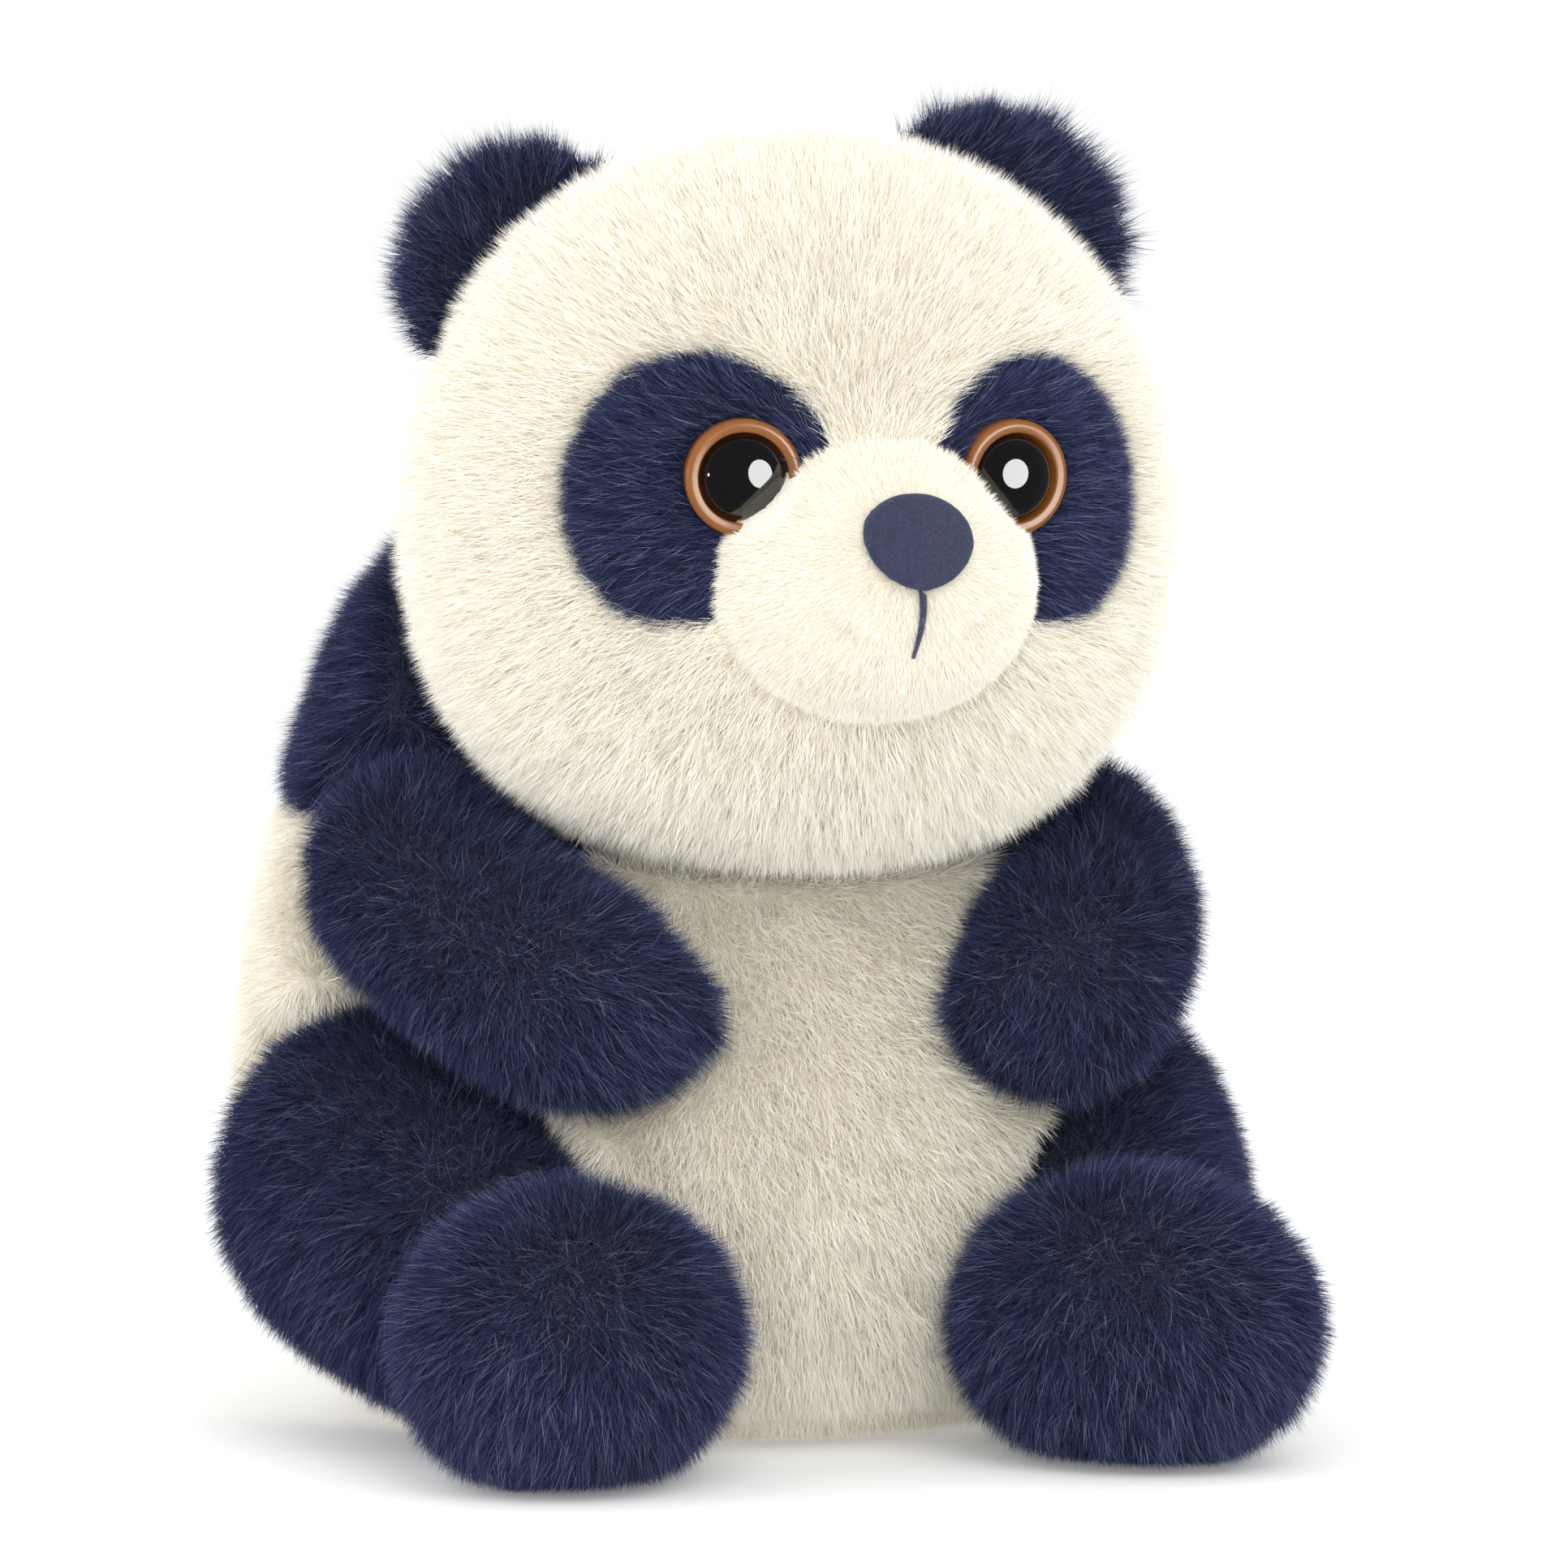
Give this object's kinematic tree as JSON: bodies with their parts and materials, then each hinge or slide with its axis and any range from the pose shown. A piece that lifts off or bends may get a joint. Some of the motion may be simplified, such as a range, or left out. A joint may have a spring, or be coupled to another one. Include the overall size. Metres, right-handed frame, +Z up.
{
  "type": "plush panda",
  "caption": "Seated plush panda in cream and navy pile, with a broad rounded body, upright cupped ears, domed muzzle, glossy eyes and arms held in front.",
  "frame": {"origin": "centre of the bounding box in X and Y, on the floor that the panda sits on", "axes": "+Z up, the panda faces -Y, its left side is +X"},
  "size_m": [0.1946, 0.2277, 0.2443],
  "materials": {
    "cream_pile": "dense cream pile plush, about 6 mm",
    "short_pile": "short ivory pile, about 3 mm",
    "navy_pile": "navy pile plush, about 7 mm",
    "nose_felt": "navy felt with a fine light fuzz",
    "mouth_thread": "navy embroidery thread",
    "eye_amber": "amber brown gloss",
    "eye_black": "black high gloss",
    "washer_nylon": "natural nylon",
    "fibre_filling": "white polyester fibre filling",
    "pellet_filling": "pellets in a woven bag"
  },
  "bodies": {
    "torso": {"shoulder_yoke": "navy_pile", "chest_band": "navy_pile", "belly_panel": "cream_pile", "back_panel": "cream_pile", "seat_panel": "cream_pile", "body_stuffing": "fibre_filling", "pellet_bag": "pellet_filling", "tail": "cream_pile"},
    "head": {"head_front_cover": "cream_pile", "head_back_cover": "cream_pile", "muzzle_cover": "short_pile", "head_stuffing": "fibre_filling", "eye_patch_right": "navy_pile", "eye_patch_left": "navy_pile", "eye_rim_right": "eye_amber", "eye_rim_left": "eye_amber", "eye_dome_right": "eye_black", "eye_dome_left": "eye_black", "eye_washer_right": "washer_nylon", "eye_washer_left": "washer_nylon", "nose": "nose_felt", "mouth_stitch": "mouth_thread"},
    "arm_right": {"arm_cover_right": "navy_pile", "arm_stuffing_right": "fibre_filling"},
    "arm_left": {"arm_cover_left": "navy_pile", "arm_stuffing_left": "fibre_filling"},
    "leg_right": {"leg_cover_right": "navy_pile", "leg_stuffing_right": "fibre_filling", "foot_cover_right": "navy_pile", "foot_pouch_right": "pellet_filling"},
    "leg_left": {"leg_cover_left": "navy_pile", "leg_stuffing_left": "fibre_filling", "foot_cover_left": "navy_pile", "foot_pouch_left": "pellet_filling"},
    "ear_right": {"ear_front_right": "navy_pile", "ear_back_right": "navy_pile"},
    "ear_left": {"ear_front_left": "navy_pile", "ear_back_left": "navy_pile"}
  },
  "joints": [
    {"name": "head_turn", "type": "hinge", "parent": "torso", "child": "head", "pos_m": [0, 0.012, 0.11], "axis": [0, 0, 1], "range_deg": [-15, 15]},
    {"name": "arm_right_swing", "type": "hinge", "parent": "torso", "child": "arm_right", "pos_m": [-0.062, 0.008, 0.107], "axis": [0, 0.5, -0.866], "range_deg": [0, 55]},
    {"name": "leg_right_spread", "type": "hinge", "parent": "torso", "child": "leg_right", "pos_m": [-0.062, 0.003, 0.045], "axis": [0, 0, -1], "range_deg": [0, 35]},
    {"name": "ear_right_flex", "type": "hinge", "parent": "head", "child": "ear_right", "pos_m": [-0.042, -0.014, 0.2105], "axis": [0.7193, 0, 0.6947], "range_deg": [-12, 12], "stiffness_Nm_per_rad": 0.05},
    {"name": "arm_left_swing", "type": "hinge", "parent": "torso", "child": "arm_left", "pos_m": [0.062, 0.008, 0.107], "axis": [0, -0.5, 0.866], "range_deg": [0, 55]},
    {"name": "leg_left_spread", "type": "hinge", "parent": "torso", "child": "leg_left", "pos_m": [0.062, 0.003, 0.045], "axis": [0, 0, 1], "range_deg": [0, 35]},
    {"name": "ear_left_flex", "type": "hinge", "parent": "head", "child": "ear_left", "pos_m": [0.042, -0.014, 0.2185], "axis": [0.7193, 0, -0.6947], "range_deg": [-12, 12], "stiffness_Nm_per_rad": 0.05}
  ]
}
